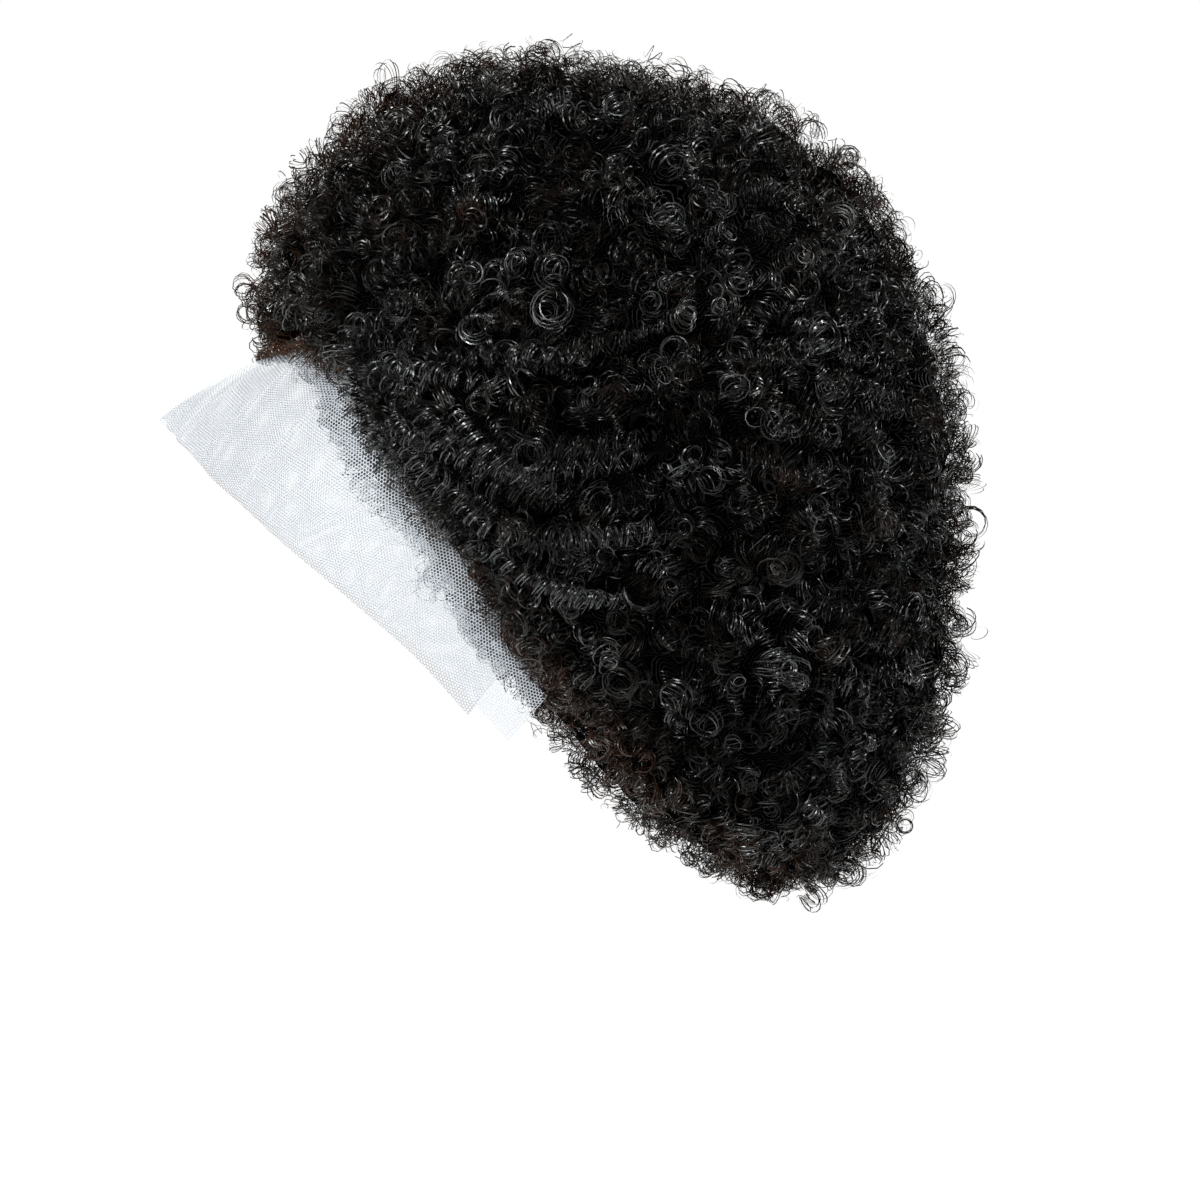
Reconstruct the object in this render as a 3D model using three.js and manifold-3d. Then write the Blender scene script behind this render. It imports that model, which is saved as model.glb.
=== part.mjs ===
import * as THREE from 'three';
import { mergeVertices } from 'three/addons/utils/BufferGeometryUtils.js';
import Module from 'manifold-3d';

// An afro wig on a lace front, in millimetres.
// The origin is inside the crown of the cap, where the wig rests on the top of the head.
// The wearer looks along -Y, their left is +X and +Z is up.
// A turn is an angle about the Z axis: 0 is the front, 90 either side and 180 the back.

// The head that the cap fits, measured from the Z axis
const foreheadReach = 115;
const headHalfBreadth = 76;
const occiputReach = 78;
const foreheadBelly = 60;
const occiputBelly = 88;

// The neck, below the cap
const neckHalfBreadth = 73;
const neckBackReach = 66;
const tailHalfBreadth = 74;
const tailBackReach = 90;

// The hair mass, over the tips of its locks
const hairFrontReach = 114;
const hairHalfBreadth = 138;
const hairBackReach = 173;
const hairRise = 92;
const hairDrop = 237;

// The locks of hair
const lockCount = 172;
const lockRise = 17;
const lockRiseAtHairline = 7;
const lockRadius = 21;
const lockRadiusAtHairline = 13;
const lockRoot = 10;

// The cap
const capDepth = 155;
const capWall = 1.5;

// The lace front
const laceThickness = 1;
const laceReach = 146;
const laceDrop = 174;
const laceBow = 3;

// What touching pieces keep between them
const clearance = 0.3;

// How round the forms are: 2 is an ellipse, more is squarer
const headSquareness = 2.4;
const hairFrontSquareness = 1.92;
const hairBackSquareness = 2.35;
const hemSquareness = 2.5;

// How finely the forms are divided
const blockSides = 28;
const blockRows = 6;
const hairSides = 28;
const hairCrownRows = 5;
const hairHemRows = 3;
const trimSides = 90;
const laceColumns = 36;
const laceRows = 3;
const lockSides = 5;

// The hairline and the hair below it, at turns from the front to the back.
// rim is the depth of the cap's rim and belly that of the widest hair, as shares of capDepth.
// tail is how far the hair goes on from the rim down to hairDrop.
const hairline = [
  { turn: 0, rim: 0.2, tail: 0, belly: 0.05 },
  { turn: 24, rim: 0.18, tail: 0, belly: 0.06 },
  { turn: 38, rim: 0.26, tail: 0, belly: 0.1 },
  { turn: 45, rim: 0.38, tail: 0, belly: 0.14 },
  { turn: 51, rim: 0.52, tail: 0, belly: 0.2 },
  { turn: 65, rim: 0.68, tail: 0, belly: 0.28 },
  { turn: 77, rim: 0.86, tail: 0, belly: 0.32 },
  { turn: 88, rim: 0.98, tail: 0, belly: 0.36 },
  { turn: 99, rim: 1, tail: 0.18, belly: 0.4 },
  { turn: 113, rim: 1, tail: 0.5, belly: 0.46 },
  { turn: 130, rim: 1, tail: 0.8, belly: 0.54 },
  { turn: 160, rim: 1, tail: 1, belly: 0.6 },
  { turn: 180, rim: 1, tail: 1, belly: 0.62 },
];

// The cut edge of the lace, from its tip at the front to its lower corner.
// root is the turn where a thread leaves the rim and edge the turn where it ends.
// reach is a share of laceReach and drop a share of laceDrop.
const laceEdge = [
  { root: 0, edge: 0, reach: 1, drop: 0.31 },
  { root: 24, edge: 9, reach: 0.91, drop: 0.405 },
  { root: 43, edge: 24, reach: 0.84, drop: 0.51 },
  { root: 57, edge: 41, reach: 0.72, drop: 0.675 },
  { root: 77, edge: 60, reach: 0.57, drop: 0.86 },
  { root: 89, edge: 74, reach: 0.5, drop: 1 },
];

// The outline of a lock, from its buried root to its tip, and the way that its tip leans.
// width is a share of its radius and height a share of its rise.
const lockProfile = [
  { width: 0, height: 0 },
  { width: 0.85, height: 0 },
  { width: 0.95, height: 0.3 },
  { width: 0.65, height: 0.8 },
  { width: 0, height: 1.1 },
];
const lockLean = new THREE.Vector3(0, 0.45, -0.4);
const lockSwirl = 0.3;

// The locks stand a little closer together at the back, where the mass is deepest
const backwardBias = 0.28;

// How far a cutting form goes past what it cuts
const overcut = 1.6;

const goldenShare = (Math.sqrt(5) - 1) / 2;

const wasm = await Module();
wasm.setup();

// One column of a table at a place along another column, with straight lines between rows
function fromTable(table, along, place, column) {
  let row = 1;
  while (row < table.length - 1 && table[row][along] < place) {
    row += 1;
  }
  const [lower, upper] = [table[row - 1], table[row]];
  const share = THREE.MathUtils.clamp((place - lower[along]) / (upper[along] - lower[along]), 0, 1);
  return THREE.MathUtils.lerp(lower[column], upper[column], share);
}

// The distance from the axis of a rounded outline with a front, two sides and a back
function planReach(turn, front, side, back, squareness) {
  const angle = THREE.MathUtils.degToRad(turn);
  const ahead = Math.abs(Math.cos(angle));
  const across = Math.abs(Math.sin(angle));
  const along = turn < 90 ? front : back;
  const sum = (across / side) ** squareness + (ahead / along) ** squareness;
  return sum ** (-1 / squareness);
}

// A point at a turn, a distance from the axis and a height; side is 1 for the left and -1 for the right
function pointAt(turn, reach, height, side) {
  const angle = THREE.MathUtils.degToRad(turn);
  return new THREE.Vector3(side * reach * Math.sin(angle), -reach * Math.cos(angle), height);
}

const rimDrop = (turn) => capDepth * fromTable(hairline, 'turn', turn, 'rim');
const bellyDrop = (turn) => capDepth * fromTable(hairline, 'turn', turn, 'belly');

function hemDrop(turn) {
  const tail = fromTable(hairline, 'turn', turn, 'tail');
  return THREE.MathUtils.lerp(rimDrop(turn), hairDrop, tail);
}

function headBelly(turn) {
  return THREE.MathUtils.lerp(foreheadBelly, occiputBelly, Math.min(1, turn / 90));
}

// How far the head, and the neck below it, reach from the axis at a depth
function headReach(turn, drop, offset) {
  const head = planReach(turn, foreheadReach, headHalfBreadth, occiputReach, headSquareness) + offset;
  const nape = planReach(turn, foreheadReach, neckHalfBreadth, neckBackReach, headSquareness) + offset;
  const tail = planReach(turn, foreheadReach, tailHalfBreadth, tailBackReach, headSquareness) + offset;
  const belly = headBelly(turn);
  if (drop < belly) {
    const rise = Math.min(1, (belly - drop) / (belly + offset));
    return head * (1 - rise ** headSquareness) ** (1 / headSquareness);
  }
  if (drop < capDepth) {
    const share = THREE.MathUtils.smoothstep(drop, belly, capDepth);
    return THREE.MathUtils.lerp(head, nape, share);
  }
  return THREE.MathUtils.lerp(nape, tail, (drop - capDepth) / (hairDrop - capDepth));
}

// A geometry with only its positions, its shared vertices merged and no triangle without area
function merged(geometry) {
  geometry.deleteAttribute('normal');
  geometry.deleteAttribute('uv');
  const whole = mergeVertices(geometry, 1e-4);
  const kept = [];
  const index = whole.index.array;
  for (let i = 0; i < index.length; i += 3) {
    const [a, b, c] = index.slice(i, i + 3);
    if (a !== b && b !== c && c !== a) {
      kept.push(a, b, c);
    }
  }
  whole.setIndex(kept);
  return whole;
}

function toSolid(geometry) {
  const whole = merged(geometry);
  const mesh = new wasm.Mesh({
    numProp: 3,
    vertProperties: new Float32Array(whole.attributes.position.array),
    triVerts: new Uint32Array(whole.index.array),
  });
  return new wasm.Manifold(mesh);
}

function toGeometry(solid) {
  const mesh = solid.getMesh();
  const geometry = new THREE.BufferGeometry();
  geometry.setAttribute('position', new THREE.BufferAttribute(new Float32Array(mesh.vertProperties), 3));
  geometry.setIndex(new THREE.BufferAttribute(new Uint32Array(mesh.triVerts), 1));
  return geometry;
}

// The main body of a solid, without the chips that a cut leaves beside it
function mainBody(solid) {
  const bodies = solid.decompose();
  return bodies.reduce((best, body) => (body.volume() > best.volume() ? body : best));
}

// A closed form about the Z axis whose rows, from the top down, are placed one by one at each turn.
// place gives [reach, height] for a row and a turn. The first and last rows are drawn in to the axis.
function turnedForm(sides, rowCount, place) {
  const profile = [];
  for (let row = 0; row < rowCount; row += 1) {
    const onAxis = row === 0 || row === rowCount - 1;
    profile.push(new THREE.Vector2(onAxis ? 0 : 1, row));
  }
  const geometry = new THREE.LatheGeometry(profile, sides);
  const position = geometry.attributes.position;
  for (let i = 0; i < position.count; i += 1) {
    const row = rowCount - 1 - (i % rowCount);
    const round = (360 * (Math.floor(i / rowCount) % sides)) / sides;
    const side = round <= 180 ? 1 : -1;
    const turn = round <= 180 ? round : 360 - round;
    const [reach, height] = place(row, turn);
    const onAxis = row === 0 || row === rowCount - 1;
    const point = pointAt(turn, onAxis ? 0 : reach, height, side);
    position.setXYZ(i, point.x, point.y, point.z);
  }
  return toSolid(geometry);
}

// The head and the neck as one block, grown by an offset
function headBlock(offset) {
  const middle = (a, b) => (a + b) / 2;
  const foot = overcut * hairDrop;
  const neckDrops = [capDepth, middle(capDepth, hairDrop), hairDrop, foot, foot];
  const lowerDrops = (belly) => [middle(belly, capDepth), ...neckDrops];
  const rowCount = blockRows + 1 + lowerDrops(0).length;
  return turnedForm(blockSides, rowCount, (row, turn) => {
    const belly = headBelly(turn);
    if (row <= blockRows) {
      const angle = (Math.PI / 2) * (row / blockRows);
      const rise = Math.cos(angle) ** (2 / headSquareness);
      const height = offset - (belly + offset) * (1 - rise);
      return [headReach(turn, -height, offset), height];
    }
    const drop = lowerDrops(belly)[row - blockRows - 1];
    return [headReach(turn, Math.min(drop, hairDrop), offset), -drop];
  });
}

// All that lies below the cap's rim
function belowRim() {
  const apexDrop = capDepth / 2;
  return turnedForm(trimSides, 4, (row, turn) => {
    const rim = rimDrop(turn);
    const reach = headReach(turn, rim, 0);
    const edge = overcut * reach;
    const foot = 2 * overcut * hairDrop;
    const rows = [
      [0, -apexDrop],
      [edge, -apexDrop - (rim - apexDrop) * overcut],
      [edge, -foot],
      [0, -foot],
    ];
    return rows[row];
  });
}

// A point of the hair's outer form, from the crown at 0 through the belly at 0.5 to the hem at 1.
// inset pulls it in towards the head.
function hairPoint(turn, share, side, inset) {
  const belly = bellyDrop(turn);
  const reach = planReach(turn, hairFrontReach, hairHalfBreadth, hairBackReach, 2) - inset;
  if (share <= 0.5) {
    const angle = Math.PI * share;
    const squareness = THREE.MathUtils.lerp(hairFrontSquareness, hairBackSquareness, turn / 180);
    const out = Math.sin(angle) ** (2 / squareness);
    const up = Math.cos(angle) ** (2 / squareness);
    return pointAt(turn, reach * out, -belly + (hairRise - inset + belly) * up, side);
  }
  const angle = Math.PI * (share - 0.5);
  const hem = hemDrop(turn);
  const hemReach = headReach(turn, hem, 0) - lockRiseAtHairline;
  const out = Math.max(0, Math.cos(angle)) ** (2 / hemSquareness);
  const down = Math.sin(angle) ** (2 / hemSquareness);
  const widest = reach + inset * down;
  const height = THREE.MathUtils.lerp(-belly, -hem, down);
  return pointAt(turn, THREE.MathUtils.lerp(hemReach, widest, out), height, side);
}

// The way out of the hair's form at a point
function hairNormal(turn, share, side) {
  const step = 0.01;
  const start = hairPoint(turn, share, side, 0);
  const onwards = hairPoint(turn, Math.min(share + step, 0.999), side, 0).sub(start);
  const round = hairPoint(turn + 1, share, side, 0).sub(start);
  return round.cross(onwards).multiplyScalar(-side).normalize();
}

// How short the hair is at a place: 1 at the hairline and 0 away from it and along the hanging tail
function hairlineShare(turn, share) {
  const tail = fromTable(hairline, 'turn', turn, 'tail');
  return THREE.MathUtils.smoothstep(share, 0.6, 1) * (1 - 0.6 * Math.sqrt(tail));
}

// The mass under the locks
function hairBacking() {
  const formRows = hairCrownRows + hairHemRows;
  return turnedForm(hairSides, formRows + 2, (row, turn) => {
    if (row > formRows) {
      return [0, -capDepth / 2];
    }
    const share = row <= hairCrownRows
      ? (0.5 * row) / hairCrownRows
      : 0.5 + (0.5 * (row - hairCrownRows)) / hairHemRows;
    const point = hairPoint(turn, share, 1, lockRise);
    return [Math.hypot(point.x, point.y), point.z];
  });
}

// The places of the locks, spread evenly in all directions from the middle of the head
function lockPlaces() {
  const places = [];
  for (let i = 0; i < lockCount; i += 1) {
    const up = 1 - (2 * (i + 0.5)) / lockCount;
    const round = 360 * ((i * goldenShare) % 1);
    const spread = THREE.MathUtils.degToRad(round);
    const across = Math.sqrt(1 - up * up);
    const aim = new THREE.Vector3(across * Math.sin(spread), across * Math.cos(spread) + backwardBias, up);
    const side = aim.x >= 0 ? 1 : -1;
    const turn = THREE.MathUtils.radToDeg(Math.atan2(Math.abs(aim.x), -aim.y));
    const slope = aim.z / Math.hypot(aim.x, aim.y);
    const share = shareAtSlope(turn, slope);
    if (share < 1) {
      places.push({ turn, share, side, number: i });
    }
  }
  return places;
}

// Where a line of a slope from the middle of the head leaves the hair; 1 is below the hem
function shareAtSlope(turn, slope) {
  const steps = 100;
  for (let i = 1; i < steps; i += 1) {
    const point = hairPoint(turn, i / steps, 1, 0);
    const reach = Math.hypot(point.x, point.y);
    if ((point.z + capDepth / 2) / reach <= slope) {
      return i / steps;
    }
  }
  return 1;
}

// One lock: a short round tuft with a buried root, which leans back and down as it leaves the mass
function lock({ turn, share, side, number }) {
  const odd = (number * goldenShare * goldenShare) % 1;
  const short = hairlineShare(turn, share);
  const rise = THREE.MathUtils.lerp(lockRise, lockRiseAtHairline, short) * (0.75 + 0.5 * odd);
  const radius = THREE.MathUtils.lerp(lockRadius, lockRadiusAtHairline, short) * (1.1 - 0.25 * odd);
  const profile = lockProfile.map((ring) => new THREE.Vector2(ring.width * radius, ring.height * rise));
  profile[0].y = -lockRoot;
  profile[1].y = -lockRoot;
  const geometry = new THREE.LatheGeometry(profile, lockSides, number);
  const normal = hairNormal(turn, share, side);
  const swirl = new THREE.Vector3(Math.sin(number), Math.cos(number), 0).multiplyScalar(lockSwirl);
  const lean = lockLean.clone().add(swirl).projectOnPlane(normal).multiplyScalar(1 - short);
  const seat = hairPoint(turn, share, side, 0).addScaledVector(normal, -rise);
  const turned = new THREE.Quaternion().setFromUnitVectors(new THREE.Vector3(0, 1, 0), normal);
  const position = geometry.attributes.position;
  for (let i = 0; i < position.count; i += 1) {
    const point = new THREE.Vector3().fromBufferAttribute(position, i);
    const out = Math.max(0, point.y);
    point.applyQuaternion(turned).addScaledVector(lean, (out * out) / rise).add(seat);
    position.setXYZ(i, point.x, point.y, point.z);
  }
  return toSolid(geometry);
}

// A point of the lace, from -1 to 1 across the head and from the rim at 0 to the cut edge at 1
function lacePoint(across, out) {
  const side = across < 0 ? -1 : 1;
  const root = Math.abs(across) * laceEdge[laceEdge.length - 1].root;
  const rim = rimDrop(root);
  const start = pointAt(root, headReach(root, rim, capWall / 2), -rim, side);
  const edgeTurn = fromTable(laceEdge, 'root', root, 'edge');
  const edgeReach = laceReach * fromTable(laceEdge, 'root', root, 'reach');
  const edgeDrop = laceDrop * fromTable(laceEdge, 'root', root, 'drop');
  const end = pointAt(edgeTurn, edgeReach, -edgeDrop, side);
  const bow = laceBow * 4 * out * (1 - out);
  return start.lerp(end, out).addScaledVector(pointAt(root, 1, 0, side), bow);
}

// The lace as a sheet of a thickness, grown past its edges by a margin
function laceSheet(thickness, margin) {
  const geometry = new THREE.BoxGeometry(2, 1, 1, laceColumns, 1, laceRows);
  const position = geometry.attributes.position;
  const step = 0.01;
  for (let i = 0; i < position.count; i += 1) {
    const across = position.getX(i);
    const out = position.getZ(i) + 0.5;
    const along = lacePoint(across + step, out).sub(lacePoint(across - step, out)).normalize();
    const down = lacePoint(across, out + step).sub(lacePoint(across, out - step)).normalize();
    const normal = down.clone().cross(along).normalize();
    const point = lacePoint(across, out);
    point.addScaledVector(normal, position.getY(i) * thickness);
    point.addScaledVector(along, Math.trunc(across) * margin);
    point.addScaledVector(down, Math.trunc(2 * position.getZ(i)) * margin);
    position.setXYZ(i, point.x, point.y, point.z);
  }
  return toSolid(geometry);
}

const laceRoom = laceSheet(laceThickness + 2 * clearance, clearance);

function wigCap() {
  return mainBody(headBlock(capWall).subtract(headBlock(0)).subtract(belowRim()).subtract(laceRoom));
}

function hair() {
  const locks = lockPlaces().map(lock);
  const mass = locks.reduce((whole, tuft) => whole.add(tuft), hairBacking());
  return mainBody(mass.subtract(headBlock(capWall + clearance)).subtract(laceRoom));
}

function piece(name, solid, settings) {
  const mesh = new THREE.Mesh(toGeometry(solid), new THREE.MeshStandardMaterial(settings));
  mesh.name = name;
  return mesh;
}

const blackNet = { color: 0x1c1714, roughness: 0.9, metalness: 0 };
const paleLace = { color: 0xe9e2da, roughness: 0.8, metalness: 0 };
const blackHair = { color: 0x0c0a09, roughness: 0.55, metalness: 0 };

const group = new THREE.Group();
group.add(piece('wig_cap', wigCap(), blackNet));
group.add(piece('lace_front', laceSheet(laceThickness, 0), paleLace));
group.add(piece('hair', hair(), blackHair));

export default group;
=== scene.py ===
import math

import bpy
import numpy as np
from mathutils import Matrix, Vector, kdtree


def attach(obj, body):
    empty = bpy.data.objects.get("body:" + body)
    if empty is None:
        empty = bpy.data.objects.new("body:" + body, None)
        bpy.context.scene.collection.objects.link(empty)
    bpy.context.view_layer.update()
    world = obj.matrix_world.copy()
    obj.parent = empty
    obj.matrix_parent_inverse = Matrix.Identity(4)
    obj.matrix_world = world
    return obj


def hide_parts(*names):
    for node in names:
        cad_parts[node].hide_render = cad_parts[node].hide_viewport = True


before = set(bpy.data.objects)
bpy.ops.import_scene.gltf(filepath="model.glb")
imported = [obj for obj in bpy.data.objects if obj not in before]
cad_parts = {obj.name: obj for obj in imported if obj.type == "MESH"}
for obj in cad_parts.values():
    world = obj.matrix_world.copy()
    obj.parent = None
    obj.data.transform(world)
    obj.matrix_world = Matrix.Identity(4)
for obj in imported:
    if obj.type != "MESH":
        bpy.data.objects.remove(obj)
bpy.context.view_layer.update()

mm = 0.001

# The wig's form in millimetres from the inside of the cap's crown: -Y is the front and +X the wearer's left.
# A turn is an angle about the Z axis in degrees: 0 is the front, 90 the left, -90 the right and 180 the back.
wigForm = {
    "foreheadReach": 115, "headHalfBreadth": 76, "occiputReach": 78,
    "foreheadBelly": 60, "occiputBelly": 88,
    "neckHalfBreadth": 73, "neckBackReach": 66, "tailHalfBreadth": 74, "tailBackReach": 90,
    "hairFrontReach": 114, "hairHalfBreadth": 138, "hairBackReach": 173,
    "hairRise": 92, "hairDrop": 237, "shortestHair": 7,
    "capDepth": 155, "capWall": 1.5, "clearance": 0.3,
    "headSquareness": 2.4, "hairFrontSquareness": 1.92, "hairBackSquareness": 2.35, "hemSquareness": 2.5,
}
hairInside = wigForm["capWall"] + wigForm["clearance"]        # from the head to the inner side of the hair

# The hairline by its turn: how deep the cap's rim and the widest hair lie, as shares of the cap's depth, and
# how far the hair hangs below the rim, from 0 to 1 at the lowest hair
hairlineTable = {
    "turn": [0, 24, 38, 45, 51, 65, 77, 88, 99, 113, 130, 160, 180],
    "rim": [0.2, 0.18, 0.26, 0.38, 0.52, 0.68, 0.86, 0.98, 1, 1, 1, 1, 1],
    "tail": [0, 0, 0, 0, 0, 0, 0, 0, 0.18, 0.5, 0.8, 1, 1],
    "belly": [0.05, 0.06, 0.1, 0.14, 0.2, 0.28, 0.32, 0.36, 0.4, 0.46, 0.54, 0.6, 0.62],
}


def lerp(low, high, share):
    return low + (high - low) * share


def smooth(value, low, high):
    share = np.clip((value - low) / (high - low), 0, 1)
    return share * share * (3 - 2 * share)


def unit(vectors):
    return vectors / np.maximum(np.linalg.norm(vectors, axis=-1, keepdims=True), 1e-9)


# Ways with a share of what they go outwards taken off, so that they lie flatter on the hair
def laidFlat(ways, out, share=1):
    return unit(ways - out * np.sum(ways * out, -1, keepdims=True) * share)


def hairline(turn, column):
    return np.interp(np.abs(turn), hairlineTable["turn"], hairlineTable[column])


# How far a rounded plan reaches from the axis at a turn
def planReach(turn, front, side, back, squareness):
    angle = np.radians(turn)
    along = np.where(np.abs(turn) < 90, front, back)
    total = (np.abs(np.sin(angle)) / side) ** squareness + (np.abs(np.cos(angle)) / along) ** squareness
    return total ** (-1 / squareness)


def pointAt(turn, reach, height):
    angle = np.radians(turn)
    return np.stack([reach * np.sin(angle), -reach * np.cos(angle), height + 0 * angle], -1)


def headBelly(turn):
    return lerp(wigForm["foreheadBelly"], wigForm["occiputBelly"], np.minimum(1, np.abs(turn) / 90))


# How far the head, and the neck below it, reach from the axis at a depth
def headReach(turn, drop, offset):
    form, front, square = wigForm, wigForm["foreheadReach"], wigForm["headSquareness"]
    plans = (("headHalfBreadth", "occiputReach"), ("neckHalfBreadth", "neckBackReach"),
             ("tailHalfBreadth", "tailBackReach"))
    head, nape, tail = (planReach(turn, front, form[side], form[back], square) + offset
                        for side, back in plans)
    belly = headBelly(turn)
    rise = np.clip((belly - drop) / (belly + offset), 0, 1)
    crown = head * (1 - rise ** square) ** (1 / square)
    side = lerp(head, nape, smooth(drop, belly, form["capDepth"]))
    neck = lerp(nape, tail, (drop - form["capDepth"]) / (form["hairDrop"] - form["capDepth"]))
    return np.where(drop < belly, crown, np.where(drop < form["capDepth"], side, neck))


def rimDrop(turn):
    return wigForm["capDepth"] * hairline(turn, "rim")


def hemDrop(turn):
    return lerp(rimDrop(turn), wigForm["hairDrop"], hairline(turn, "tail"))


# A point of the hair's outer form, from the crown at 0 through its widest at 0.5 to the hem at 1
def hairPoint(turn, share):
    form = wigForm
    belly = form["capDepth"] * hairline(turn, "belly")
    reach = planReach(turn, form["hairFrontReach"], form["hairHalfBreadth"], form["hairBackReach"], 2)
    power = 2 / lerp(form["hairFrontSquareness"], form["hairBackSquareness"], np.abs(turn) / 180)
    rising = np.pi * np.minimum(share, 0.5)
    up = np.clip(np.cos(rising), 0, 1) ** power
    crown = pointAt(turn, reach * np.sin(rising) ** power, -belly + (form["hairRise"] + belly) * up)
    falling = np.pi * (np.maximum(share, 0.5) - 0.5)
    hem = hemDrop(turn)
    hemReach = headReach(turn, hem, 0) - form["shortestHair"]
    out = np.clip(np.cos(falling), 0, 1) ** (2 / form["hemSquareness"])
    down = np.sin(falling) ** (2 / form["hemSquareness"])
    lower = pointAt(turn, lerp(hemReach, reach, out), lerp(-belly, -hem, down))
    return np.where((share <= 0.5)[..., None], crown, lower)


def hairNormal(turn, share):
    step = 0.004
    above = hairPoint(turn, np.maximum(share - step, 0.0001))
    below = hairPoint(turn, np.minimum(share + step, 1))
    around = hairPoint(turn + 0.5, share) - hairPoint(turn - 0.5, share)
    return unit(np.cross(below - above, around))


# How short the hair is: 1 at the hairline, 0 away from it, and less than 1 along the hanging tail
shortHair = {"startsAt": 0.78, "lessAtTail": 0.6}


def shortness(turn, share):
    atHairline = smooth(share, shortHair["startsAt"], 1)
    return atHairline * (1 - shortHair["lessAtTail"] * np.sqrt(hairline(turn, "tail")))


# How the outline goes up and down: waves by their length and an angle that sets their way, and high tufts by
# their middle, width and height. The last of these is a hollow at the back.
outlineForm = {
    "waves": ((61, 0.4), (47, 1.9), (38, 3.1), (31, 4.4), (26, 5.6)),
    "fullWave": 2.2,
    "highTufts": (
        ((12, -64, 76), 14, 11),
        ((15, -6, 91), 9, 2),
        ((12, 108, 58), 16, 2.5),
        ((-25, -50, 80), 9, 5),
        ((0, 158, -20), 26, -5),
    ),
}


# The waves at a place, from about -1 to 1
def swell(points):
    total = np.zeros(points.shape[:-1])
    for length, tilt in outlineForm["waves"]:
        aim = np.array([math.cos(tilt), math.sin(tilt), math.sin(tilt * 2.3)])
        side = np.array([math.sin(tilt * 1.7), math.cos(tilt * 1.3), math.cos(tilt)])
        total += np.sin(points @ aim * 2 * np.pi / length + tilt) * np.sin(points @ side * 2 * np.pi / length)
    return total / outlineForm["fullWave"]


# How far the hair stands out at a place, by what a full wave adds
def standOut(points, full):
    total = full * swell(points)
    for middle, width, height in outlineForm["highTufts"]:
        away = np.linalg.norm(points - np.array(middle), axis=-1) / width
        total = total + height * np.exp(-away ** 2)
    return total


# Steps by the two ratios of the plastic number spread places without clumps or gaps
spreadSteps = {"share": 0.7548776662, "turn": 0.5698402910}


# Places spread evenly over the hair: their turns, shares, points and ways out
def spreadOverHair(count, firstPlace):
    turns, shares = np.linspace(-180, 180, 361), np.linspace(0.0001, 0.995, 161)
    grid = hairPoint(*np.meshgrid(turns, shares))
    down, across = grid[1:, :-1] - grid[:-1, :-1], grid[:-1, 1:] - grid[:-1, :-1]
    area = np.linalg.norm(np.cross(down, across), axis=-1)
    rows = np.concatenate([[0], np.cumsum(area.sum(1))])
    number = np.arange(count) + firstPlace
    share = np.interp((number * spreadSteps["share"]) % 1, rows / rows[-1], shares)
    row = np.clip(np.searchsorted(shares, share) - 1, 0, len(area) - 1)
    along, turn = (number * spreadSteps["turn"]) % 1, np.zeros(count)
    for one in np.unique(row):
        picked = row == one
        columns = np.concatenate([[0], np.cumsum(area[one])])
        turn[picked] = np.interp(along[picked], columns / columns[-1], turns)
    return turn, share, hairPoint(turn, share), hairNormal(turn, share)


# Moves points out of the head's space
def clearOfHead(points, gap):
    turn = np.degrees(np.arctan2(points[..., 0], -points[..., 1]))
    reach = np.hypot(points[..., 0], points[..., 1])
    held = headReach(turn, -points[..., 2], hairInside) + gap
    grown = np.where(points[..., 2] < 0, np.maximum(reach, held), reach) / np.maximum(reach, 1e-6)
    return points * np.stack([grown, grown, np.ones_like(grown)], -1)


def linearColour(code):
    parts = [int(code[i:i + 2], 16) / 255 for i in (1, 3, 5)]
    return [c / 12.92 if c <= 0.04045 else ((c + 0.055) / 1.055) ** 2.4 for c in parts] + [1]


# Adds a node with its settings, its socket values and what is linked into it
def addNode(tree, kind, values=None, links=None, **settings):
    node = tree.nodes.new(kind)
    for name, value in settings.items():
        setattr(node, name, value)
    for socket, value in (values or {}).items():
        node.inputs[socket].default_value = value
    for socket, source in (links or {}).items():
        tree.links.new(source, node.inputs[socket])
    return node


def newMaterial(name):
    material = bpy.data.materials.new(name)
    material.use_nodes = True
    material.node_tree.nodes.clear()
    return material, material.node_tree


# A mesh from points in millimetres and faces that all have the same number of corners
def newObject(name, points, faces, material):
    mesh = bpy.data.meshes.new(name)
    corners = faces.shape[1]
    mesh.vertices.add(len(points))
    mesh.vertices.foreach_set("co", (points * mm).astype(np.float32).ravel())
    mesh.loops.add(faces.size)
    mesh.loops.foreach_set("vertex_index", faces.astype(np.int32).ravel())
    mesh.polygons.add(len(faces))
    mesh.polygons.foreach_set("loop_start", np.arange(0, faces.size, corners, dtype=np.int32))
    mesh.polygons.foreach_set("loop_total", np.full(len(faces), corners, dtype=np.int32))
    mesh.polygons.foreach_set("use_smooth", np.ones(len(faces), dtype=bool))
    mesh.update(calc_edges=True)
    mesh.validate()
    piece = bpy.data.objects.new(name, mesh)
    bpy.context.collection.objects.link(piece)
    piece.data.materials.append(material)
    return piece


def addMap(piece, name, places, faces):
    layer = piece.data.uv_layers.new(name=name)
    layer.data.foreach_set("uv", places.reshape(-1, 2)[faces.ravel()].astype(np.float32).ravel())


# The four-cornered faces of a grid of points. A closed grid joins its last column to its first.
def gridFaces(rows, columns, closed):
    first = (np.arange(rows - 1) * columns)[:, None]
    column = np.arange(columns if closed else columns - 1)
    ahead = (column + 1) % columns
    corners = (first + column, first + columns + column, first + columns + ahead, first + ahead)
    return np.stack(corners, -1).reshape(-1, 4)


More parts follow.
